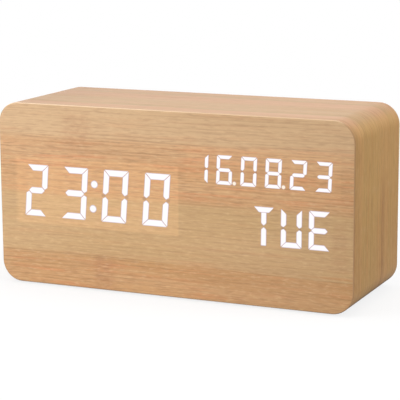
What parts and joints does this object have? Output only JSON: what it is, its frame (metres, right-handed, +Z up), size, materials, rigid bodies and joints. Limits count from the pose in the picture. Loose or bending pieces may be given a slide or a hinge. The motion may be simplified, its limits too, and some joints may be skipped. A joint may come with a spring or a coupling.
{
  "type": "digital desk clock",
  "caption": "Rounded wood-look desk clock block with glowing bar digits for time, date and weekday, back buttons, power socket and a hinged battery door.",
  "frame": {"origin": "on the table, under the middle of the block's bounding box", "axes": "+X along the width, to the right seen from the front; +Y towards the back; +Z up; the display faces -Y"},
  "size_m": [0.15, 0.054, 0.0738],
  "materials": {
    "pressed_board": "raw pressed board, fine brown fibres at its cut faces",
    "wood_film": "bamboo-look printed film, grain along the wrap, satin",
    "front_veneer": "bamboo-look veneer, fine grain along the width, satin",
    "lit_bars": "glowing white light bar",
    "lit_points": "glowing warm white point",
    "unlit_bars": "milky light bar, not lit",
    "diffuser": "milky sheet",
    "reflector_white": "white moulded block",
    "led_chip": "small lamp chip with yellow phosphor",
    "circuit_board": "green lacquered circuit board",
    "post_brass": "turned brass",
    "screw_steel": "zinc-plated steel",
    "chip_black": "black moulded plastic",
    "can_metal": "plain metal can",
    "contact_metal": "nickel-plated spring steel",
    "back_plastic": "black moulded plastic with a fine texture",
    "button_plastic": "dark moulded plastic, smooth cap",
    "plunger_plastic": "dark grey plastic",
    "ribbon_grey": "grey ribbon insulation",
    "lead_red": "red wire insulation",
    "cell_wrap": "plain printed cell sleeve",
    "foot_rubber": "thin rubber pad"
  },
  "bodies": {
    "case": {"back_panel": "back_plastic", "back_panel_screws": "screw_steel", "battery_cell_1": "cell_wrap", "battery_cell_2": "cell_wrap", "battery_cell_3": "cell_wrap", "battery_leads": "lead_red", "battery_tray": "back_plastic", "buzzer": "chip_black", "case_sleeve": "pressed_board", "cell_contacts": "contact_metal", "clock_chip": "chip_black", "control_board": "circuit_board", "control_board_screws": "screw_steel", "corner_blocks": "pressed_board", "date_digit_1": "lit_bars", "date_digit_2": "lit_bars", "date_digit_3": "lit_bars", "date_digit_4": "lit_bars", "date_digit_5": "lit_bars", "date_digit_6": "lit_bars", "date_points": "lit_points", "date_reflector": "reflector_white", "date_unlit_bars": "unlit_bars", "diffuser_sheet": "diffuser", "display_board": "circuit_board", "display_board_screws": "screw_steel", "display_posts": "post_brass", "feet": "foot_rubber", "front_board": "pressed_board", "front_veneer": "front_veneer", "led_driver_chip": "chip_black", "microphone": "can_metal", "power_socket_shell": "can_metal", "power_socket_tongue": "plunger_plastic", "ribbon_cable": "ribbon_grey", "ribbon_connectors": "plunger_plastic", "segment_leds": "led_chip", "sleeve_film": "wood_film", "switch_housings": "chip_black", "temperature_sensor": "chip_black", "time_colon": "lit_bars", "time_digit_1": "lit_bars", "time_digit_2": "lit_bars", "time_digit_3": "lit_bars", "time_digit_4": "lit_bars", "time_reflector": "reflector_white", "time_unlit_bars": "unlit_bars", "timing_crystal": "can_metal", "weekday_letter_1": "lit_bars", "weekday_letter_2": "lit_bars", "weekday_letter_3": "lit_bars", "weekday_reflector": "reflector_white", "weekday_unlit_bars": "unlit_bars"},
    "set_button": {"set_button": "button_plastic", "set_plunger": "plunger_plastic"},
    "up_button": {"up_button": "button_plastic", "up_plunger": "plunger_plastic"},
    "down_button": {"down_button": "button_plastic", "down_plunger": "plunger_plastic"},
    "battery_door": {"battery_door": "back_plastic"}
  },
  "joints": [
    {"name": "set_press", "type": "slide", "parent": "case", "child": "set_button", "axis": [0, -1, 0], "range_m": [0, 0.0005], "stiffness_N_per_m": 1500},
    {"name": "up_press", "type": "slide", "parent": "case", "child": "up_button", "axis": [0, -1, 0], "range_m": [0, 0.0005], "stiffness_N_per_m": 1500},
    {"name": "down_press", "type": "slide", "parent": "case", "child": "down_button", "axis": [0, -1, 0], "range_m": [0, 0.0005], "stiffness_N_per_m": 1500},
    {"name": "battery_door_hinge", "type": "hinge", "parent": "case", "child": "battery_door", "pos_m": [-0.028, 0.02415, 0.0224], "axis": [-1, 0, 0], "range_deg": [0, 85]}
  ]
}
